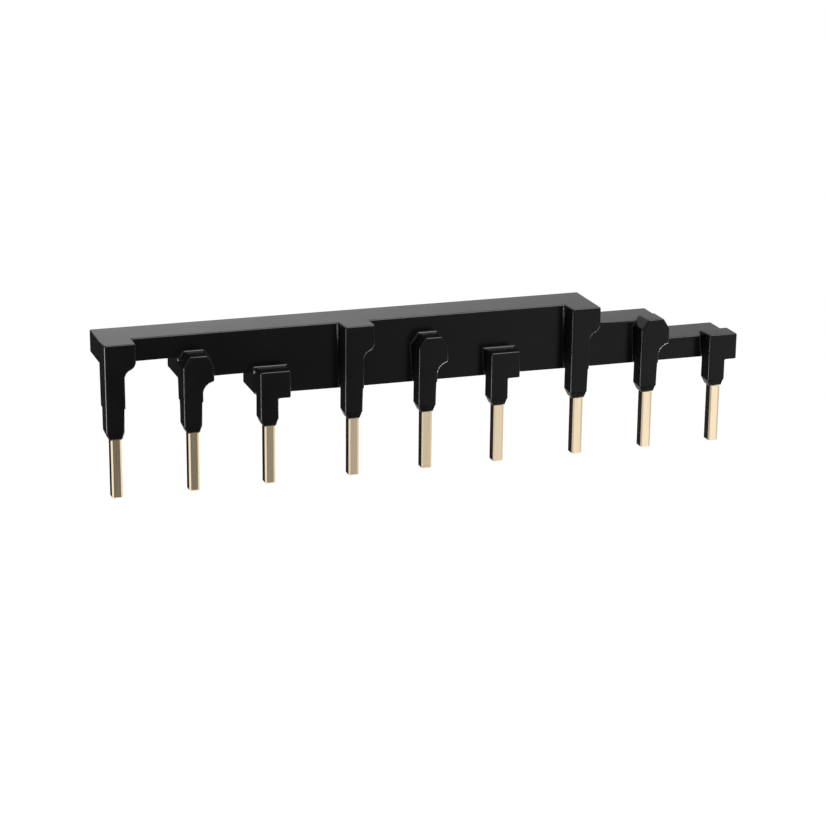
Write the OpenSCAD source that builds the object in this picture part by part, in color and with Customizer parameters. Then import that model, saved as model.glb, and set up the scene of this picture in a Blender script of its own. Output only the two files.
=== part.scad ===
// Three-phase comb busbar: a black moulded housing with three stepped levels,
// and one bent copper comb in each level. Each comb feeds one pin of every device.
// Millimetres. +X runs along the row of pins, +Y to the back, +Z up.
// The origin is the middle of the contact face of the middle pin.

/* [Row of devices] */
// Number of devices that the busbar feeds
device_count = 3; // [2:1:4]
// Distance between two neighbouring devices
device_pitch = 45; // [44:0.5:54]
// Distance between two neighbouring pins of one device
tap_pitch = 14.4; // [12:0.1:15]

/* [Housing bar] */
// Depth of the bar, from its front face to its back
bar_depth = 8.5; // [8:0.1:12]
// Height of the top level
top_level_h = 4.3; // [4:0.1:6]
// Height of the middle level
middle_level_h = 4.0; // [3.8:0.1:6]
// Height of the bottom level
bottom_level_h = 4.3; // [4:0.1:6]
// Rounding of the bar's upright back edges
bar_corner_r = 0.4; // [0.1:0.05:0.8]

/* [Sleeves] */
// How far a sleeve stands out in front of the bar
sleeve_depth = 3.7; // [3.4:0.1:5]
// Width of the upper stem of a sleeve
upper_stem_w = 3.9; // [3.6:0.1:4.4]
// Width of the lower stem of a sleeve
lower_stem_w = 3.4; // [3.2:0.05:3.55]
// Depth of the step between the stems, below the top of the bar
stem_step_drop = 12; // [11.5:0.1:12.5]
// Distance from the centre of a sleeve to the right side of its head
head_reach = 4.05; // [3.7:0.05:4.6]
// Length of a sleeve, from the top of the bar to its lower end
sleeve_drop = 17.9; // [17:0.1:24]
// Height of the taper at the lower end
taper_h = 1.4; // [0.8:0.1:2]
// Half width of the lower end, on the left
end_reach_left = 1.15; // [1.05:0.05:1.5]
// Half width of the lower end, on the right
end_reach_right = 1.4; // [1.35:0.05:1.55]
// How far the front face leans back over the taper
front_taper = 0.5; // [0:0.05:0.6]
// How far the back face leans forward over the taper
back_taper = 0.7; // [0:0.05:0.9]
// Rounding of the upright front edges of a sleeve
sleeve_edge_r = 0.35; // [0.1:0.05:0.5]

/* [Heads] */
// Top of the octagonal head, above the top of its level
octagon_head_rise = 1.0; // [0.4:0.1:1.6]
// Width of the corner cuts of the octagonal head
octagon_cut_w = 1.25; // [0.6:0.05:1.6]
// Height of the corner cuts of the octagonal head
octagon_cut_h = 1.95; // [0.8:0.05:2.6]
// Radius of the curve below the octagonal head
octagon_curve_r = 2.3; // [1.6:0.1:2.8]
// Top of the square head, above the top of its level
square_head_rise = 0.9; // [0.4:0.1:1.6]
// Rounding of the square head's corners
square_head_r = 0.4; // [0.1:0.05:0.8]
// How far a raised head reaches back over the bar
head_overlap = 1.0; // [0.4:0.1:2]
// Depth below the top of the bar at which the flush head starts to curve in
swan_start = 3.4; // [2.8:0.1:4]
// Depth below the top of the bar at which the flush head meets the stem
swan_end = 6.5; // [5.8:0.1:8]
// Share of that curve which bulges outwards
swan_bulge = 0.48; // [0.35:0.01:0.65]

/* [Copper combs] */
// Thickness of the copper sheet
sheet_t = 1.95; // [1.45:0.05:2.05]
// Width of a pin
pin_w = 2.0; // [1.6:0.05:2.05]
// Sideways offset of a pin from the centre of its sleeve
pin_shift = 0.15; // [0:0.05:0.2]
// Length of a pin below its sleeve
pin_length = 11.3; // [8:0.1:16]
// How far the front face of a bare pin is coined back from the face of the sheet
coin_depth = 0.05; // [0.03:0.01:0.1]
// Distance from a sleeve's lower end to where the coined face starts
coin_gap = 0.1; // [0.05:0.05:0.3]
// Corner cut along the front edges of a pin
pin_edge_cut = 0.3; // [0.1:0.05:0.45]
// Corner cut at the tip of a pin
pin_tip_cut = 0.25; // [0.1:0.05:0.5]
// Plastic in front of the sheet, where a sleeve is straight
pin_cover = 0.7; // [0.7:0.05:1]
// Inner radius of the bend between strip and pin
bend_r = 0.6; // [0.3:0.1:0.9]
// Plastic left in front of and behind a strip
strip_wall = 1.0; // [0.6:0.1:1.8]
// Width of a tab at its root
tab_root_w = 4.0; // [3:0.1:4.1]
// Width of a bottom comb's tab at its root, kept inside its narrow stem
bottom_root_w = 2.4; // [2.1:0.05:2.45]
// Gap between the copper and the plastic moulded round it
mould_gap = 0.05; // [0.02:0.01:0.08]

/* [Hidden] */

levels = 3;
level_heights = [top_level_h, middle_level_h, bottom_level_h];
upper_half = upper_stem_w / 2;
lower_half = lower_stem_w / 2;
taper_top = -sleeve_drop + taper_h;
tip_z = -sleeve_drop - pin_length;
sheet_front = pin_cover - sleeve_depth;
pin_front = sheet_front + coin_depth;
pin_back = sheet_front + sheet_t;
coin_top = -sleeve_drop - coin_gap;
pin_left = pin_shift - pin_w / 2;
pin_right = pin_shift + pin_w / 2;
strip_front = strip_wall;
strip_back = bar_depth - strip_wall;
contact_z = -sleeve_drop - pin_length / 2;
arc_steps = 8;
over = 1;

// Height of the top and of the bottom of a level, below the top of the bar
function level_bottom(level) = level < 0 ? 0 : level_bottom(level - 1) - level_heights[level];
function level_top(level) = level_bottom(level - 1);
function strip_z(level) = (level_top(level) + level_bottom(level)) / 2;

// Right side of a tab's root
function tab_right(level) = pin_left + (level == levels - 1 ? bottom_root_w : tab_root_w);

// Place of a pin's sleeve along the bar, by its device and its phase
function tap_x(device, phase) = device * device_pitch + phase * tap_pitch;
middle_device = floor((device_count - 1) / 2);
origin_x = tap_x(middle_device, 1) + pin_shift;

// Top of the head of each phase's sleeves
function head_top(phase) = level_top(phase) + [0, octagon_head_rise, square_head_rise][phase];

function arc(centre, r, from, to) =
    [for (i = [0:arc_steps]) let (a = from + (to - from) * i / arc_steps)
        centre + r * [cos(a), sin(a)]];

// Two arcs, one outward and one inward, that lead from an outer edge to an inner one
function swan_curve(x_out, x_in, z_from, z_to) =
    let (drop = z_from - z_to, turn = 2 * atan((x_out - x_in) / drop),
         both = drop / sin(turn), r_out = both * swan_bulge, r_in = both - r_out)
    concat(arc([x_out - r_out, z_from], r_out, 0, -turn),
           arc([x_in + r_in, z_to], r_in, 180 - turn, 180));

// The hollow curve from the lower right corner of the octagonal head into the stem
function octagon_curve(z_from) =
    let (cx = upper_half + octagon_curve_r,
         start = acos((head_reach - cx) / octagon_curve_r),
         cz = z_from - octagon_curve_r * sin(start))
    arc([cx, cz], octagon_curve_r, start, 180);

// Outlines of the heads, clockwise from the left, down to the upper stem on the right
function flush_head() =
    concat([[-upper_half, 0], [head_reach, 0]],
           swan_curve(head_reach, upper_half, -swan_start, -swan_end),
           [[upper_half, -stem_step_drop]]);

function octagon_head(top) =
    concat([[-upper_half, top - octagon_cut_h], [-upper_half + octagon_cut_w, top],
            [head_reach - octagon_cut_w, top], [head_reach, top - octagon_cut_h]],
           octagon_curve(level_bottom(1)),
           [[upper_half, -stem_step_drop]]);

function square_head(top) =
    let (r = square_head_r, low = level_bottom(2))
    concat(arc([-upper_half + r, top - r], r, 180, 90),
           arc([head_reach - r, top - r], r, 90, 0),
           arc([head_reach - r, low + r], r, 0, -90),
           [[lower_half, low]]);

// Outline of the lower stem and its taper, from the right round to the left
function lower_stem(from_right) =
    [[lower_half, from_right], [lower_half, taper_top],
     [end_reach_right, -sleeve_drop], [-end_reach_left, -sleeve_drop],
     [-lower_half, taper_top], [-lower_half, -stem_step_drop], [-upper_half, -stem_step_drop]];

function sleeve_outline(phase) =
    phase == 0 ? concat(flush_head(), lower_stem(-stem_step_drop)) :
    phase == 1 ? concat(octagon_head(head_top(1)), lower_stem(-stem_step_drop)) :
    concat(square_head(head_top(2)), lower_stem(level_bottom(2) - 0.01));

// Extrudes an outline drawn in X and Z towards the front, from y = back
module extrude_forward(depth, back = 0) {
    translate([0, back, 0]) rotate([90, 0, 0]) linear_extrude(height = depth) children();
}

// Extrudes an outline drawn in Y and Z along X, from x = left
module extrude_along(length, left = 0) {
    translate([left, 0, 0]) rotate([90, 0, 90]) linear_extrude(height = length) children();
}

// Side view of every sleeve: straight, then tapered at its lower end
module sleeve_side_view() {
    polygon([[-sleeve_depth, over], [0, over], [0, taper_top], [-back_taper, -sleeve_drop],
             [-sleeve_depth + front_taper, -sleeve_drop], [-sleeve_depth, taper_top]]);
}

// View from above of a sleeve between two sides, with its front edges rounded
module sleeve_top_view(left, right) {
    r = sleeve_edge_r;
    polygon(concat([[left, over], [right, over]],
                   arc([right - r, -sleeve_depth + r], r, 0, -90),
                   arc([left + r, -sleeve_depth + r], r, -90, -180)));
}

module sleeve(phase) {
    intersection() {
        extrude_forward(sleeve_depth + over, over) polygon(sleeve_outline(phase));
        extrude_along(2 * device_pitch, -device_pitch) sleeve_side_view();
        union() {
            translate([0, 0, -stem_step_drop])
                linear_extrude(height = stem_step_drop + over) sleeve_top_view(-upper_half, head_reach);
            translate([0, 0, -sleeve_drop - over])
                linear_extrude(height = sleeve_drop + over - stem_step_drop)
                    sleeve_top_view(-lower_half, phase == 2 ? head_reach : lower_half);
        }
    }
}

// The part of a raised head that reaches back over the bar
module raised_head_back(phase) {
    foot = level_top(phase) - head_overlap / 2;
    intersection() {
        extrude_forward(head_overlap, head_overlap) polygon(sleeve_outline(phase));
        translate([-device_pitch / 2, 0, foot]) cube([device_pitch, bar_depth, -foot]);
    }
}

// One level of the bar, with its upright back edges rounded
module bar_level(level) {
    left = tap_x(0, level) - upper_half;
    right = tap_x(device_count - 1, level) + head_reach;
    r = bar_corner_r;
    translate([0, 0, level_bottom(level)])
        linear_extrude(height = level_heights[level])
            polygon(concat([[left, 0], [right, 0]],
                           arc([right - r, bar_depth - r], r, 0, 90),
                           arc([left + r, bar_depth - r], r, 90, 180)));
}

// Side view of the bent sheet, thickened by a gap: strip edge, bend and pin
module bent_sheet_view(level, gap) {
    bend_y = pin_back + bend_r;
    bend_z = strip_z(level) - sheet_t / 2 - bend_r;
    r_in = bend_r - gap;
    r_out = bend_r + sheet_t + gap;
    polygon(concat([[strip_front + over, bend_z + r_out]],
                   arc([bend_y, bend_z], r_out, 90, 180),
                   [[bend_y - r_out, bend_z - bend_r], [bend_y - r_in, bend_z - bend_r]],
                   arc([bend_y, bend_z], r_in, 180, 90),
                   [[strip_front + over, bend_z + r_in]]));
}

// Front view of a tab: a wide root that narrows to the pin by a slanted shoulder
module tab_view(level, gap) {
    root_end = level_bottom(level) + strip_wall / 2;
    right = tab_right(level);
    shoulder = right - pin_right;
    polygon([[pin_left - gap, 0], [right + gap, 0], [right + gap, root_end],
             [pin_right + gap, root_end - shoulder], [pin_right + gap, coin_top],
             [pin_left - gap, coin_top]]);
}

// The bare pin, with its front face coined back and its front edges and tip cut
module pin() {
    cut = pin_edge_cut;
    tip = pin_tip_cut;
    top = -sleeve_drop;
    intersection() {
        translate([0, 0, tip_z]) linear_extrude(height = top - tip_z)
            polygon([[pin_left, pin_back], [pin_left, pin_front + cut], [pin_left + cut, pin_front],
                     [pin_right - cut, pin_front], [pin_right, pin_front + cut],
                     [pin_right, pin_back]]);
        extrude_forward(sleeve_depth)
            polygon([[pin_left, top], [pin_right, top], [pin_right, tip_z + tip],
                     [pin_right - tip, tip_z], [pin_left + tip, tip_z], [pin_left, tip_z + tip]]);
        extrude_along(device_pitch, -device_pitch / 2)
            polygon([[pin_front, top], [pin_back, top], [pin_back, tip_z + tip],
                     [pin_back - tip, tip_z], [pin_front + tip, tip_z], [pin_front, tip_z + tip]]);
    }
}

// The tab below its bend, at the full thickness of the sheet
module tab_root(level, gap) {
    top = strip_z(level) - sheet_t / 2 - bend_r;
    intersection() {
        translate([-device_pitch / 2, sheet_front - gap, coin_top])
            cube([device_pitch, sheet_t + 2 * gap, top - coin_top]);
        extrude_forward(sleeve_depth) tab_view(level, gap);
    }
}

module tab(level, gap) {
    intersection() {
        extrude_along(device_pitch, -device_pitch / 2) bent_sheet_view(level, gap);
        extrude_forward(bar_depth + sleeve_depth, bar_depth) tab_view(level, gap);
    }
    tab_root(level, gap);
    pin();
}

// One phase's copper: a flat strip with a bent tab for every device
module comb(level, gap = 0) {
    left = tap_x(0, level) + pin_left - gap;
    right = tap_x(device_count - 1, level) + tab_right(level) + gap;
    translate([left, strip_front - gap, strip_z(level) - sheet_t / 2 - gap])
        cube([right - left, strip_back - strip_front + 2 * gap, sheet_t + 2 * gap]);
    for (device = [0:device_count - 1])
        translate([tap_x(device, level), 0, 0]) tab(level, gap);
}

// Moves what is drawn from the top front edge of the bar to the part's own origin
module at_origin() {
    translate([-origin_x, -pin_front, -contact_z]) children();
}

module housing() {
    color("#1b1b1c") at_origin() difference() {
        union() {
            for (level = [0:levels - 1]) bar_level(level);
            for (device = [0:device_count - 1], phase = [0:levels - 1])
                translate([tap_x(device, phase), 0, 0]) {
                    sleeve(phase);
                    if (phase > 0) raised_head_back(phase);
                }
        }
        for (level = [0:levels - 1]) comb(level, mould_gap);
    }
}

module top_phase_comb() { color("#d9c7a4") at_origin() comb(0); }
module middle_phase_comb() { color("#d9c7a4") at_origin() comb(1); }
module bottom_phase_comb() { color("#d9c7a4") at_origin() comb(2); }

housing();
top_phase_comb();
middle_phase_comb();
bottom_phase_comb();
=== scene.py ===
"""Three-phase comb busbar: a black moulded housing with three stepped levels and nine
sleeved taps, and the plated copper pins that stand out below the sleeves."""

import math

import bmesh
import bpy
from mathutils import Matrix, Vector


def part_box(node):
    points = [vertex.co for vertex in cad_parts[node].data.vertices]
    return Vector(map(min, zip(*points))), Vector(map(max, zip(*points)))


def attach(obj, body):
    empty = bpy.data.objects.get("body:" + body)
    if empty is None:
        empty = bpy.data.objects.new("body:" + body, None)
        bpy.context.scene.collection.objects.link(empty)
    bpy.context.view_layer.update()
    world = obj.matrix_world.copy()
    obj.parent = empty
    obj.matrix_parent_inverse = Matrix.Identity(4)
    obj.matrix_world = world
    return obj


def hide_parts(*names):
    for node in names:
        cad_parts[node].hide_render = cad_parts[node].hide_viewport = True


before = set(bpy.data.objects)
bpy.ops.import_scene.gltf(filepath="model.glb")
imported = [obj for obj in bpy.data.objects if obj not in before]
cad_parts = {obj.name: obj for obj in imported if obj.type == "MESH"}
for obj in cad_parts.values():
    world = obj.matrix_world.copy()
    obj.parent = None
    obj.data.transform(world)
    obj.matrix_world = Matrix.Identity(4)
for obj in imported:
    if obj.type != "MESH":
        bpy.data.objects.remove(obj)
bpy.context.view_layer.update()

bl_info = {
    "name": "Comb Busbar",
    "version": (1, 0, 0),
    "blender": (4, 5, 0),
    "location": "View3D > Sidebar > Busbar",
    "description": "Builds a three-phase comb busbar with its housing, copper combs and stage",
    "category": "Object",
}

# The housing's box gives the places that every piece is measured from: the top of the
# bar, its front and back faces, and the centre of the first tap.
HOUSING_LOW, HOUSING_HIGH = (Vector(c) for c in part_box("housing"))
TOP = HOUSING_HIGH.z
BACK = HOUSING_HIGH.y
COMBS = ("top_phase_comb", "middle_phase_comb", "bottom_phase_comb")


# ---------------------------------------------------------------- sizes and colours


def length(name, default, description, low=0.0):
    """A length in metres, shown in the scene's own unit."""
    return bpy.props.FloatProperty(
        name=name, default=default, min=low, description=description,
        unit="LENGTH", subtype="DISTANCE", precision=5,
    )


class BarSizes(bpy.types.PropertyGroup):
    devices: bpy.props.IntProperty(
        name="Devices", default=3, min=1, max=4, description="Devices that the busbar feeds"
    )
    device_pitch: length("Device pitch", 0.045, "Distance between two neighbouring devices")
    tap_pitch: length("Tap pitch", 0.0144, "Distance between two neighbouring pins of a device")
    depth: length("Bar depth", 0.0085, "Depth of the bar, from front to back")
    top_level: length("Top level", 0.0043, "Height of the top level")
    middle_level: length("Middle level", 0.0040, "Height of the middle level")
    bottom_level: length("Bottom level", 0.0043, "Height of the bottom level")


class SleeveSizes(bpy.types.PropertyGroup):
    depth: length("Sleeve depth", 0.0037, "How far a sleeve stands out in front of the bar")
    upper_half: length("Upper half width", 0.00195, "Half width of the upper stem")
    lower_half: length("Lower half width", 0.0017, "Half width of the lower stem")
    step_drop: length("Step drop", 0.012, "Depth of the step between the two stems")
    reach: length("Head reach", 0.00405, "From the centre of a sleeve to its head's right side")
    drop: length("Sleeve drop", 0.0179, "From the top of the bar to a sleeve's lower end")
    taper: length("Taper height", 0.0014, "Height of the taper at the lower end")
    end_left: length("End, left", 0.00115, "Half width of the lower end on the left")
    end_right: length("End, right", 0.0014, "Half width of the lower end on the right")
    front_taper: length("Front taper", 0.0005, "How far the front leans back over the taper")
    back_taper: length("Back taper", 0.0007, "How far the back leans forward over the taper")
    edge_radius: length("Edge radius", 0.00028, "Rounding of the outer edges")
    root_radius: length("Root radius", 0.00042, "Hollow rounding where a sleeve meets the bar")
    small_radius: length("Small radius", 0.0001, "Rounding of the step and the tapered end")


class HeadSizes(bpy.types.PropertyGroup):
    octagon_rise: length("Octagon rise", 0.0010, "Octagonal head above its level")
    octagon_cut_w: length("Octagon cut width", 0.00125, "Width of the head's corner cuts")
    octagon_cut_h: length("Octagon cut height", 0.00195, "Height of the head's corner cuts")
    octagon_curve: length("Octagon curve", 0.0023, "Radius of the curve below the head")
    square_rise: length("Square rise", 0.0009, "Square head above its level")
    overlap: length("Head overlap", 0.0010, "How far a raised head reaches back over the bar")
    swan_start: length("Curve start", 0.0034, "Depth at which the flush head curves in")
    swan_end: length("Curve end", 0.0065, "Depth at which the flush head meets the stem")
    swan_share: bpy.props.FloatProperty(
        name="Curve share", default=0.48, min=0.3, max=0.7, subtype="FACTOR",
        description="Share of that curve which bulges outwards",
    )


class PinSizes(bpy.types.PropertyGroup):
    half_width: length("Half width", 0.001, "Half width of a bare pin")
    cut: length("Corner cut", 0.0003, "Cut of the front corners, as the combs come in")
    slope_width: length("Slope width", 0.00033, "Width of the pressed slope at a front corner")
    slope_depth: length("Slope depth", 0.00008, "Depth of the pressed slope at a front corner")


class Finish(bpy.types.PropertyGroup):
    plastic: bpy.props.StringProperty(
        name="Plastic colour", default="070708", description="Black moulded polyamide, sRGB hex"
    )
    copper: bpy.props.StringProperty(
        name="Plating colour", default="f2ddbf", description="Pale plating on copper, sRGB hex"
    )
    stage_white: bpy.props.StringProperty(
        name="Stage colour", default="f4f4f4", description="Floor below the busbar, sRGB hex"
    )


SIZE_GROUPS = {"bar_sizes": BarSizes, "sleeve_sizes": SleeveSizes, "head_sizes": HeadSizes,
               "pin_sizes": PinSizes, "finish": Finish}


# ---------------------------------------------------------------- modelling helpers


def deselect():
    """Leaves nothing selected, so that an operator acts only on what it is meant for."""
    if bpy.context.mode != "OBJECT":
        bpy.ops.object.mode_set(mode="OBJECT")
    bpy.ops.object.select_all(action="DESELECT")


def activate(piece):
    deselect()
    piece.select_set(True)
    bpy.context.view_layer.objects.active = piece


def start_outline(name, x, y, z):
    """One vertex, from which an outline is extruded."""
    deselect()
    bpy.context.tool_settings.mesh_select_mode = (True, False, False)
    bpy.ops.mesh.primitive_plane_add(size=0.001, location=(x, y, z), enter_editmode=True)
    bpy.ops.mesh.merge(type="CENTER")
    bpy.context.object.name = name
    return bpy.context.object


def run(x, z):
    """Extrudes the outline by a straight run, sideways by x and up by z."""
    bpy.ops.mesh.extrude_vertices_move(TRANSFORM_OT_translate={"value": (x, 0, z)})


def sweep(centre, degrees, steps=12):
    """Spins the outline's end round a centre; a positive angle turns it clockwise from the front."""
    bpy.ops.mesh.spin(
        steps=steps, angle=-math.radians(degrees), center=centre, axis=(0, 1, 0)
    )


def select_where(piece, kind, test):
    """In edit mode, selects the verts, edges or faces whose middle passes the test."""
    mesh = bmesh.from_edit_mesh(piece.data)
    bpy.ops.mesh.select_all(action="DESELECT")
    bpy.context.tool_settings.mesh_select_mode = (kind == "verts", kind == "edges", kind == "faces")
    for item in getattr(mesh, kind):
        middle = item.co if kind == "verts" else sum((v.co for v in item.verts), Vector()) / len(item.verts)
        item.select = bool(test(item, middle))
    mesh.select_flush_mode()
    bmesh.update_edit_mesh(piece.data)


def placed_in_mesh(piece):
    """Leaves the piece's object at the origin, with its place in its mesh. Corners go to
    whole micrometres, so that faces which are meant to meet do meet."""
    activate(piece)
    bpy.ops.object.transform_apply(location=True, rotation=True, scale=True)
    for corner in piece.data.vertices:
        corner.co = [round(c, 6) for c in corner.co]


def fill_and_extrude(piece, depth):
    """Closes the outline, fills it and extrudes it into a solid towards the back."""
    bpy.ops.mesh.select_all(action="SELECT")
    bpy.ops.mesh.remove_doubles(threshold=1e-6)
    bpy.ops.mesh.edge_face_add()
    bpy.ops.mesh.extrude_region_move(TRANSFORM_OT_translate={"value": (0, depth, 0)})
    bpy.ops.mesh.select_all(action="SELECT")
    bpy.ops.mesh.normals_make_consistent(inside=False)
    placed_in_mesh(piece)


def copied(piece, name, x):
    """A copy with its own mesh, moved along the bar."""
    activate(piece)
    bpy.ops.object.duplicate(linked=False)
    copy = bpy.context.object
    copy.name = name
    copy.location.x += x
    placed_in_mesh(copy)
    return copy


def united(base, other):
    """Joins a second solid to the first, and removes the second."""
    activate(base)
    union = base.modifiers.new("Union", "BOOLEAN")
    union.operation = "UNION"
    union.solver = "EXACT"
    union.object = other
    bpy.ops.object.modifier_apply(modifier=union.name)
    bpy.data.objects.remove(other, do_unlink=True)


def weigh_edges(piece, test, weight):
    """Gives the edges that pass the test their share of the piece's largest rounding."""
    select_where(piece, "edges", test)
    bpy.ops.transform.edge_bevelweight(value=-1)
    bpy.ops.transform.edge_bevelweight(value=weight)


def rounded(piece, radius, segments=3):
    """Rounds every weighted edge, hollow ones too, and shades the curves smooth."""
    activate(piece)
    bevel = piece.modifiers.new("Rounded edges", "BEVEL")
    bevel.width = radius
    bevel.segments = segments
    bevel.limit_method = "WEIGHT"
    bevel.use_clamp_overlap = False
    bpy.ops.object.modifier_apply(modifier=bevel.name)
    bpy.ops.object.shade_smooth_by_angle(angle=math.radians(40))
    flat = piece.modifiers.new("Flat faces stay flat", "WEIGHTED_NORMAL")
    flat.weight = 100
    flat.keep_sharp = True
    bpy.ops.object.modifier_apply(modifier=flat.name)
    # A flat side keeps its own normal in every corner, also where a rounding runs out.
    mesh = piece.data
    normals = [corner.vector.copy() for corner in mesh.corner_normals]
    for face in mesh.polygons:
        if face.area > 5e-7 and max(abs(c) for c in face.normal) > 0.9999:
            for corner in face.loop_indices:
                normals[corner] = face.normal.copy()
    mesh.normals_split_custom_set(normals)


# ---------------------------------------------------------------- materials


def linear(hex_code, alpha=1.0):
    """Turns an sRGB hex value into linear colour."""
    parts = [int(hex_code[i:i + 2], 16) / 255 for i in (0, 2, 4)]
    return tuple(c / 12.92 if c <= 0.04045 else ((c + 0.055) / 1.055) ** 2.4 for c in parts) + (alpha,)


def add(tree, kind, settings=None, links=None, **inputs):
    """Adds a node with its settings, its constant inputs and the sockets linked into it."""
    node = tree.nodes.new(kind)
    for key, value in (settings or {}).items():
        setattr(node, key, value)
    for key, value in inputs.items():
        node.inputs[key.replace("_", " ")].default_value = value
    for key, socket in (links or {}).items():
        tree.links.new(socket, node.inputs[key])
    return node


def new_material(name):
    material = bpy.data.materials.new(name)
    material.use_nodes = True
    material.node_tree.nodes.clear()
    return material, material.node_tree


def black_polyamide(hex_code):
    """Injection-moulded black polyamide: the fine spark-eroded skin of the mould breaks
    its gloss into a soft sheen, with slightly duller patches from the flow of the melt."""
    material, tree = new_material("moulded_black_polyamide")
    place = add(tree, "ShaderNodeTexCoord").outputs["Object"]
    grain = add(tree, "ShaderNodeTexNoise", links={"Vector": place}, Scale=6000, Detail=3)
    flow = add(tree, "ShaderNodeTexNoise", links={"Vector": place}, Scale=120, Detail=2)
    rough = add(tree, "ShaderNodeMapRange", links={"Value": flow.outputs["Fac"]},
                **{"From Min": 0.3, "From Max": 0.7, "To Min": 0.19, "To Max": 0.25})
    bump = add(tree, "ShaderNodeBump", links={"Height": grain.outputs["Fac"]},
               Strength=0.25, Distance=0.00002)
    shader = add(tree, "ShaderNodeBsdfPrincipled",
                 links={"Roughness": rough.outputs["Result"], "Normal": bump.outputs["Normal"]},
                 **{"Base Color": linear(hex_code), "IOR": 1.5, "Specular IOR Level": 0.15})
    add(tree, "ShaderNodeOutputMaterial", links={"Surface": shader.outputs["BSDF"]})
    return material


def plated_copper(hex_code):
    """Stamped copper with a thin pale plating: a satin metal with faint drawing lines along
    the pin, drawn coarser than the real ones so that they can be seen."""
    material, tree = new_material("plated_stamped_copper")
    place = add(tree, "ShaderNodeTexCoord").outputs["Object"]
    along = add(tree, "ShaderNodeMapping", links={"Vector": place}, Scale=(1, 1, 0.02))
    lines = add(tree, "ShaderNodeTexNoise", links={"Vector": along.outputs["Vector"]}, Scale=4500, Detail=1)
    colour = add(tree, "ShaderNodeMixRGB", links={"Fac": lines.outputs["Fac"]},
                 Color1=linear(hex_code), Color2=linear("e4cfae"))
    rough = add(tree, "ShaderNodeMapRange", links={"Value": lines.outputs["Fac"]},
                **{"To Min": 0.14, "To Max": 0.22})
    bump = add(tree, "ShaderNodeBump", links={"Height": lines.outputs["Fac"]},
               Strength=0.06, Distance=0.00001)
    shader = add(tree, "ShaderNodeBsdfPrincipled",
                 links={"Base Color": colour.outputs["Color"], "Roughness": rough.outputs["Result"],
                        "Normal": bump.outputs["Normal"]}, Metallic=1.0)
    add(tree, "ShaderNodeOutputMaterial", links={"Surface": shader.outputs["BSDF"]})
    return material


def shown_to_eye(tree):
    """1 for what is looked at straight on, mirrored in metal or seen through glass."""
    path = add(tree, "ShaderNodeLightPath")
    first = add(tree, "ShaderNodeMath", {"operation": "MAXIMUM"})
    tree.links.new(path.outputs["Is Camera Ray"], first.inputs[0])
    tree.links.new(path.outputs["Is Glossy Ray"], first.inputs[1])
    both = add(tree, "ShaderNodeMath", {"operation": "MAXIMUM"})
    tree.links.new(first.outputs[0], both.inputs[0])
    tree.links.new(path.outputs["Is Transmission Ray"], both.inputs[1])
    return both.outputs[0]


def white_floor(hex_code):
    """Matt white floor: mostly a plain white to the eye, with enough lit paper in it to
    keep the busbar's shadow."""
    material, tree = new_material("white_floor")
    paper = add(tree, "ShaderNodeBsdfDiffuse", Color=linear(hex_code))
    glow = add(tree, "ShaderNodeEmission", Color=(1, 1, 1, 1), Strength=1.12)
    white = add(tree, "ShaderNodeMixShader", links={1: glow.outputs[0], 2: paper.outputs[0]}, Fac=0.12)
    mix = add(tree, "ShaderNodeMixShader",
              links={0: shown_to_eye(tree), 1: paper.outputs[0], 2: white.outputs[0]})
    add(tree, "ShaderNodeOutputMaterial", links={"Surface": mix.outputs[0]})
    return material


def graded_card(name, levels):
    """Card lit from behind and graded from left to right, which the plastic and the pins
    mirror. Each level of light goes with its place across the card, in metres."""
    material, tree = new_material(name)
    place = add(tree, "ShaderNodeTexCoord").outputs["Object"]
    x = add(tree, "ShaderNodeSeparateXYZ", links={"Vector": place}).outputs["X"]
    start, end = levels[0][0], levels[-1][0]
    across = add(tree, "ShaderNodeMapRange", links={"Value": x}, **{"From Min": start, "From Max": end})
    ramp = add(tree, "ShaderNodeValToRGB", links={"Fac": across.outputs["Result"]})
    stops = ramp.color_ramp.elements
    while len(stops) < len(levels):
        stops.new(0.5)
    for stop, (place, level) in zip(stops, levels):
        stop.position = (place - start) / (end - start)
        stop.color = (level, level, level, 1)
    glow = add(tree, "ShaderNodeEmission", links={"Color": ramp.outputs["Color"]}, Strength=1.0)
    add(tree, "ShaderNodeOutputMaterial", links={"Surface": glow.outputs[0]})
    return material


def finished(piece, material):
    """Gives a piece its body and its material."""
    piece.data.materials.clear()
    piece.data.materials.append(material)
    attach(piece, "root")


# ---------------------------------------------------------------- pieces


def level_bottoms(bar):
    one = TOP - bar.top_level
    two = one - bar.middle_level
    return [one, two, two - bar.bottom_level]


def first_tap(sleeve):
    return HOUSING_LOW.x + sleeve.upper_half


def front_face(bar):
    return BACK - bar.depth


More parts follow.
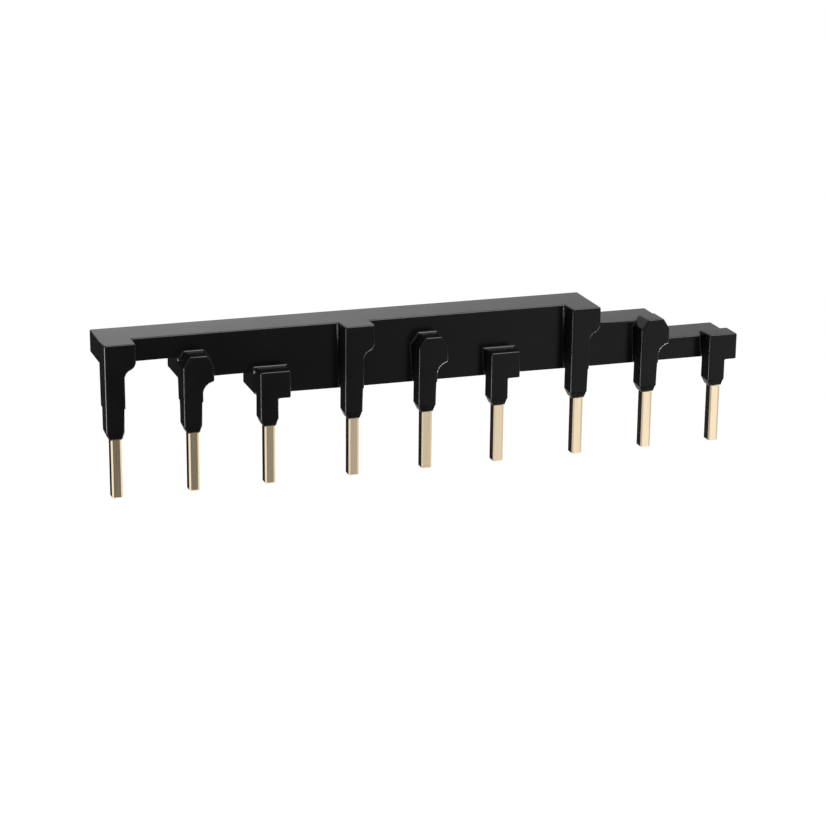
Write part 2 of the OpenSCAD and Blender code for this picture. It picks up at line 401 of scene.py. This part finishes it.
class BUSBAR_OT_housing(bpy.types.Operator):
    """Model the moulded housing: the stepped bar, its nine sleeves and their heads"""

    bl_idname = "busbar.housing"
    bl_label = "Housing"

    def bar(self, bar, sleeve, reach):
        """The stepped bar: an outline with one step per level at each end, extruded back."""
        lows = level_bottoms(bar)
        left = first_tap(sleeve) - sleeve.upper_half
        length = (bar.devices - 1) * bar.device_pitch + sleeve.upper_half + reach
        piece = start_outline("stepped_bar", left, front_face(bar), TOP)
        run(length, 0)
        run(0, lows[0] - TOP)
        run(bar.tap_pitch, 0)
        run(0, lows[1] - lows[0])
        run(bar.tap_pitch, 0)
        run(0, lows[2] - lows[1])
        run(-length, 0)
        run(0, lows[1] - lows[2])
        run(-bar.tap_pitch, 0)
        run(0, lows[0] - lows[1])
        run(-bar.tap_pitch, 0)
        run(0, TOP - lows[0])
        fill_and_extrude(piece, bar.depth)
        return piece

    def lower_stem(self, sleeve, x, from_z):
        """The end of every outline: down the lower stem, across its tapered end and up."""
        taper_top = TOP - sleeve.drop + sleeve.taper
        run(0, taper_top - from_z)
        run(sleeve.end_right - sleeve.lower_half, -sleeve.taper)
        run(-sleeve.end_right - sleeve.end_left, 0)
        run(sleeve.end_left - sleeve.lower_half, sleeve.taper)
        run(0, TOP - sleeve.step_drop - taper_top)
        run(sleeve.lower_half - sleeve.upper_half, 0)

    def flush_outline(self, bar, sleeve, head, x, y):
        """Head flush with the top of the bar, with a swan-neck curve into the stem."""
        piece = start_outline("flush_sleeve", x - sleeve.upper_half, y, TOP)
        run(sleeve.upper_half + sleeve.reach, 0)
        run(0, -head.swan_start)
        drop = head.swan_end - head.swan_start
        side = sleeve.reach - sleeve.upper_half
        turn = 2 * math.atan(side / drop)
        both = drop / math.sin(turn)
        out = both * head.swan_share
        sweep((x + sleeve.reach - out, y, TOP - head.swan_start), math.degrees(turn))
        sweep((x + sleeve.upper_half + both - out, y, TOP - head.swan_end), -math.degrees(turn))
        run(0, head.swan_end - sleeve.step_drop)
        run(sleeve.lower_half - sleeve.upper_half, 0)
        self.lower_stem(sleeve, x, TOP - sleeve.step_drop)
        run(0, sleeve.step_drop)
        return piece

    def octagon_outline(self, bar, sleeve, head, x, y):
        """Octagonal head, raised above the middle level, with a hollow curve below it."""
        low = level_bottoms(bar)[1]
        top = level_bottoms(bar)[0] + head.octagon_rise
        piece = start_outline("octagon_sleeve", x - sleeve.upper_half, y, top - head.octagon_cut_h)
        run(head.octagon_cut_w, head.octagon_cut_h)
        run(sleeve.upper_half + sleeve.reach - 2 * head.octagon_cut_w, 0)
        run(head.octagon_cut_w, -head.octagon_cut_h)
        run(0, low - top + head.octagon_cut_h)
        radius = head.octagon_curve
        across = sleeve.upper_half + radius - sleeve.reach
        start = math.acos(-across / radius)
        centre_z = low - radius * math.sin(start)
        sweep((x + sleeve.upper_half + radius, y, centre_z), -math.degrees(math.pi - start))
        run(0, TOP - sleeve.step_drop - centre_z)
        run(sleeve.lower_half - sleeve.upper_half, 0)
        self.lower_stem(sleeve, x, TOP - sleeve.step_drop)
        run(0, top - head.octagon_cut_h - TOP + sleeve.step_drop)
        return piece

    def square_outline(self, bar, sleeve, head, x, y):
        """Square head, raised above the bottom level, flush with the bar's underside."""
        low = level_bottoms(bar)[2]
        top = level_bottoms(bar)[1] + head.square_rise
        piece = start_outline("square_sleeve", x - sleeve.upper_half, y, top)
        run(sleeve.upper_half + sleeve.reach, 0)
        run(0, low - top)
        run(sleeve.lower_half - sleeve.reach, 0)
        self.lower_stem(sleeve, x, low)
        run(0, top - TOP + sleeve.step_drop)
        return piece

    def sleeve(self, piece, sleeve, head, back_from):
        """Turns an outline into a sleeve: extruded, tapered at its end, with the back of a
        raised head drawn back over the bar."""
        fill_and_extrude(piece, sleeve.depth)
        bpy.ops.object.mode_set(mode="EDIT")
        front = HOUSING_LOW.y
        end = TOP - sleeve.drop
        bpy.ops.mesh.select_all(action="SELECT")
        bpy.ops.mesh.bisect(plane_co=(0, 0, end + sleeve.taper), plane_no=(0, 0, 1))
        select_where(piece, "verts", lambda v, m: m.z < end + 1e-6 and m.y < front + 1e-6)
        bpy.ops.transform.translate(value=(0, sleeve.front_taper, 0))
        select_where(piece, "verts", lambda v, m: m.z < end + 1e-6 and m.y > front + sleeve.depth - 1e-6)
        bpy.ops.transform.translate(value=(0, -sleeve.back_taper, 0))
        # The upper stem's left side leans in towards the front, where it lines up with the
        # lower stem. The head's own left corner leans in with it.
        left = first_tap(sleeve) - sleeve.upper_half
        top = max(v.z for v in (Vector(c) for c in piece.bound_box))
        narrower = sleeve.upper_half - sleeve.lower_half
        select_where(piece, "verts", lambda v, m: m.y < front + 1e-6 and (
            (m.x < left + 1e-6 and m.z > TOP - sleeve.step_drop - 1e-6)
            or (m.x < left + head.octagon_cut_w + 1e-6 and m.z > top - 1e-6)))
        bpy.ops.transform.translate(value=(narrower, 0, 0))
        bpy.ops.mesh.select_all(action="SELECT")
        bpy.ops.mesh.remove_doubles(threshold=1e-6)
        if back_from is not None:
            bpy.ops.mesh.select_all(action="SELECT")
            bpy.ops.mesh.bisect(plane_co=(0, 0, back_from), plane_no=(0, 0, 1))
            select_where(piece, "faces", lambda f, m: f.normal.y > 0.9 and m.z > back_from)
            bpy.ops.mesh.extrude_region_move(TRANSFORM_OT_translate={"value": (0, head.overlap, 0)})
        placed_in_mesh(piece)
        return piece

    def weigh(self, housing, bar, sleeve, head):
        """Full rounding in the hollow edges, less on the outer ones, least at small steps."""
        outer = sleeve.edge_radius / sleeve.root_radius
        small = sleeve.small_radius / sleeve.root_radius
        sharp, soft = math.radians(28), math.radians(11.5)
        front = front_face(bar)
        lows = level_bottoms(bar)
        step = TOP - sleeve.step_drop
        end = first_tap(sleeve) + (bar.devices - 1) * bar.device_pitch + sleeve.reach
        run_out = TOP - head.swan_start
        weigh_edges(housing, lambda e, m: soft < e.calc_face_angle() <= sharp, small)
        weigh_edges(housing, lambda e, m: e.calc_face_angle() > sharp and e.is_convex, outer)
        weigh_edges(housing, lambda e, m: e.calc_face_angle() > sharp and not e.is_convex, 1)
        weigh_edges(housing, lambda e, m: all(abs(v.co.z - step) < 1e-5 for v in e.verts), 0)
        # The hollow edges under the bar have no room beside the flush heads' curves.
        weigh_edges(housing, lambda e, m: not e.is_convex
                    and any(abs(m.z - low) < 1e-5 for low in lows) and abs(m.y - front) < 1e-5, 0)
        # A raised head's back stands close to the end of its level.
        weigh_edges(housing, lambda e, m: not e.is_convex and m.y > front + 1e-5
                    and any(abs(m.z - low) < 1e-5 for low in lows), outer)
        # The last flush head's curve runs out along the end of the top level, with no room
        # there for any rounding.
        weigh_edges(housing, lambda e, m: abs(m.y - front) < 1e-5 and end - 0.0012 < m.x < end + 1e-5
                    and lows[0] - 0.0008 < m.z < run_out + 1e-5, 0)

    def execute(self, context):
        scene = context.scene
        bar, sleeve, head = scene.bar_sizes, scene.sleeve_sizes, scene.head_sizes
        front = HOUSING_LOW.y
        x = first_tap(sleeve)
        lows = level_bottoms(bar)
        kinds = [
            self.sleeve(self.flush_outline(bar, sleeve, head, x, front), sleeve, head, None),
            self.sleeve(self.octagon_outline(bar, sleeve, head, x, front), sleeve, head,
                        lows[0] - head.overlap / 2),
            self.sleeve(self.square_outline(bar, sleeve, head, x, front), sleeve, head,
                        lows[1] - head.overlap / 2),
        ]
        housing = self.bar(bar, sleeve, sleeve.reach)
        for device in range(bar.devices):
            for phase, kind in enumerate(kinds):
                united(housing, copied(kind, "tap_sleeve", device * bar.device_pitch + phase * bar.tap_pitch))
        for kind in kinds:
            bpy.data.objects.remove(kind, do_unlink=True)
        activate(housing)
        bpy.ops.object.mode_set(mode="EDIT")
        bpy.ops.mesh.select_all(action="SELECT")
        bpy.ops.mesh.remove_doubles(threshold=2e-6)
        bpy.ops.mesh.dissolve_limited(angle_limit=math.radians(0.5))
        bpy.ops.mesh.normals_make_consistent(inside=False)
        self.weigh(housing, bar, sleeve, head)
        bpy.ops.object.mode_set(mode="OBJECT")
        housing.name = "moulded_housing"
        rounded(housing, sleeve.root_radius)
        finished(housing, black_polyamide(scene.finish.plastic))
        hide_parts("housing")
        return {"FINISHED"}


class BUSBAR_OT_combs(bpy.types.Operator):
    """Press the front corners of the bare pins flatter and give the combs their plated finish"""

    bl_idname = "busbar.combs"
    bl_label = "Copper combs"

    def move_corners(self, comb, bar, across, y, shift):
        """Moves the corners of every pin that stand this far from its centre and this deep."""
        centres = [(device - (bar.devices - 1) / 2) * bar.device_pitch + (phase - 1) * bar.tap_pitch
                   for device in range(bar.devices) for phase in range(3)]
        select_where(comb, "verts", lambda v, m: abs(m.y - y) < 2e-5
                     and any(abs(m.x - c - across) < 2e-5 for c in centres))
        bpy.ops.transform.translate(value=shift)

    def press_corners(self, comb, bar, pin):
        """Turns the front corners' narrow 45-degree cuts into wide, flat slopes. Where a
        slope runs out at the tip, its point moves along with it."""
        was = pin.cut
        run_out = pin.slope_width * pin.slope_depth / (pin.slope_width + pin.slope_depth)
        back = was / 2 - run_out
        for side in (-1, 1):
            self.move_corners(comb, bar, side * pin.half_width, was, (0, pin.slope_depth - was, 0))
            self.move_corners(comb, bar, side * (pin.half_width - was), 0,
                              (side * (was - pin.slope_width), 0, 0))
            self.move_corners(comb, bar, side * (pin.half_width - was / 2), was / 2,
                              (side * back, -back, back))

    def execute(self, context):
        scene = context.scene
        metal = plated_copper(scene.finish.copper)
        for name in COMBS:
            activate(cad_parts[name])
            bpy.ops.object.duplicate(linked=False)
            comb = bpy.context.object
            comb.name = "plated_" + name
            bpy.ops.object.mode_set(mode="EDIT")
            bpy.ops.mesh.select_all(action="SELECT")
            bpy.ops.mesh.remove_doubles(threshold=1e-6)
            bpy.ops.mesh.dissolve_limited(angle_limit=math.radians(1))
            self.press_corners(comb, scene.bar_sizes, scene.pin_sizes)
            bpy.ops.object.mode_set(mode="OBJECT")
            finished(comb, metal)
            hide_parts(name)
        return {"FINISHED"}


class BUSBAR_OT_stage(bpy.types.Operator):
    """Set up the floor, the cards, the lamps and the camera"""

    bl_idname = "busbar.stage"
    bl_label = "Stage"

    def softbox(self, name, azimuth, elevation, distance, size, radiance, lit):
        """A rectangular soft lamp that faces the busbar and lights what is in the group lit.
        Azimuth 0 is in front, 90 to the right and 180 behind; the lamp's power follows from
        its radiance and its area."""
        turn, rise = math.radians(azimuth), math.radians(elevation)
        place = distance * Vector((math.sin(turn) * math.cos(rise),
                                   -math.cos(turn) * math.cos(rise), math.sin(rise)))
        deselect()
        bpy.ops.object.light_add(type="AREA", location=place)
        lamp = bpy.context.object
        lamp.name = name
        lamp.data.shape = "RECTANGLE"
        lamp.data.size, lamp.data.size_y = size
        lamp.data.energy = radiance * math.pi * size[0] * size[1]
        lamp.rotation_euler = place.to_track_quat("Z", "Y").to_euler()
        lamp.visible_camera = False
        lamp.light_linking.receiver_collection = lit

    def camera(self):
        """Long lens, slightly above the bar and to its left."""
        turn, tilt, roll = (math.radians(a) for a in (-18.534, 17.404, 0.5536))
        right = Vector((math.cos(turn), math.sin(turn), 0))
        ahead = Vector((-math.sin(turn), math.cos(turn), 0))
        up = Vector((0, 0, 1))
        forward = math.cos(tilt) * ahead - math.sin(tilt) * up
        above = math.sin(tilt) * ahead + math.cos(tilt) * up
        x_axis = math.cos(roll) * right + math.sin(roll) * above
        y_axis = -math.sin(roll) * right + math.cos(roll) * above
        data = bpy.data.cameras.new("view")
        data.lens = 108.706
        data.sensor_width = 36
        data.clip_start = 0.01
        camera = bpy.data.objects.new("view", data)
        bpy.context.scene.collection.objects.link(camera)
        camera.matrix_world = Matrix.Translation((-0.14492, -0.423966, 0.145805)) @ Matrix(
            (x_axis, y_axis, -forward)).transposed().to_4x4()
        bpy.context.scene.camera = camera

    def plane(self, name, place, size, turn, material):
        """A flat piece of the stage: it lies at first, then is turned up and round."""
        deselect()
        bpy.ops.mesh.primitive_plane_add(size=1, location=place, rotation=[math.radians(a) for a in turn])
        sheet = bpy.context.object
        sheet.name = name
        sheet.scale = (*size, 1)
        bpy.ops.object.transform_apply(location=True, rotation=True, scale=True)
        sheet.data.materials.append(material)
        return sheet

    def execute(self, context):
        scene = context.scene
        self.camera()
        floor = self.plane("floor", (0, 0, -0.60), (12, 12), (0, 0, 0), white_floor(scene.finish.stage_white))
        # The lamps draw the edges of the black plastic. The plated pins mirror only the
        # white room and the cards, because a lamp would burn them out.
        lit = bpy.data.collections.new("lit_by_lamps")
        for thing in (floor, bpy.data.objects["moulded_housing"]):
            lit.objects.link(thing)
        # Cards that the camera does not see: one in front with a dark gap in it, a dark one
        # behind for the left sides, one behind for the top of the bar, and a dark one that
        # lies low in front for the sleeves' tapered ends.
        for name, place, size, levels in (
            ("front_card", (0.4, -1.1, 0.1), (2.6, 1.4),
             ((-0.9, 1.2), (-0.24, 1.2), (-0.18, 0.75), (0.02, 0.7), (0.11, 0.06), (0.22, 0.10),
              (0.32, 0.43), (0.43, 1.0), (0.50, 1.2), (0.70, 1.25), (1.0, 0.9), (1.6, 0.4))),
            ("dark_card", (-0.335, 0.5, -0.26), (0.65, 0.68), ((-0.7, 0.02), (0, 0.02))),
            ("back_card", (0.25, 0.6, 0.32), (1.0, 0.44), ((0.1, 1.18), (0.42, 0.46))),
            ("low_card", (0.15, -0.40, -0.45), (0.9, 0.5), ((-0.3, 0.1), (0.6, 0.1))),
        ):
            tilt = 0 if name == "low_card" else 90
            card = self.plane(name, place, size, (tilt, 0, 0), graded_card(name, levels))
            card.visible_camera = False
        self.softbox("overhead_softbox", 45, 65, 0.7, (0.55, 0.45), 14, lit)
        self.softbox("left_softbox", -96, -17, 0.45, (0.30, 0.30), 24, lit)
        self.softbox("low_softbox", 102, -43, 0.45, (0.34, 0.36), 20, lit)

        world = bpy.data.worlds.new("studio")
        scene.world = world
        world.use_nodes = True
        tree = world.node_tree
        tree.nodes.clear()
        dim = add(tree, "ShaderNodeBackground", Color=(1, 1, 1, 1), Strength=0.3)
        white = add(tree, "ShaderNodeBackground", Color=(1, 1, 1, 1), Strength=1.0)
        mix = add(tree, "ShaderNodeMixShader",
                  links={0: shown_to_eye(tree), 1: dim.outputs[0], 2: white.outputs[0]})
        add(tree, "ShaderNodeOutputWorld", links={"Surface": mix.outputs[0]})
        scene.view_settings.view_transform = "Standard"
        return {"FINISHED"}


class BUSBAR_PT_panel(bpy.types.Panel):
    """Buttons that build the busbar, piece by piece"""

    bl_label = "Comb Busbar"
    bl_idname = "BUSBAR_PT_panel"
    bl_space_type = "VIEW_3D"
    bl_region_type = "UI"
    bl_category = "Busbar"

    def draw(self, context):
        for operator in OPERATORS:
            self.layout.operator(operator.bl_idname)
        for group, kind in SIZE_GROUPS.items():
            box = self.layout.box()
            for name in kind.__annotations__:
                box.prop(getattr(context.scene, group), name)


OPERATORS = (BUSBAR_OT_housing, BUSBAR_OT_combs, BUSBAR_OT_stage)


def register():
    for kind in (*SIZE_GROUPS.values(), *OPERATORS, BUSBAR_PT_panel):
        bpy.utils.register_class(kind)
    for group, kind in SIZE_GROUPS.items():
        setattr(bpy.types.Scene, group, bpy.props.PointerProperty(type=kind))


def unregister():
    for group in SIZE_GROUPS:
        delattr(bpy.types.Scene, group)
    for kind in (BUSBAR_PT_panel, *reversed(OPERATORS), *reversed(list(SIZE_GROUPS.values()))):
        bpy.utils.unregister_class(kind)


def main():
    register()
    bpy.ops.busbar.housing()
    bpy.ops.busbar.combs()
    bpy.ops.busbar.stage()


if __name__ == "__main__":
    main()
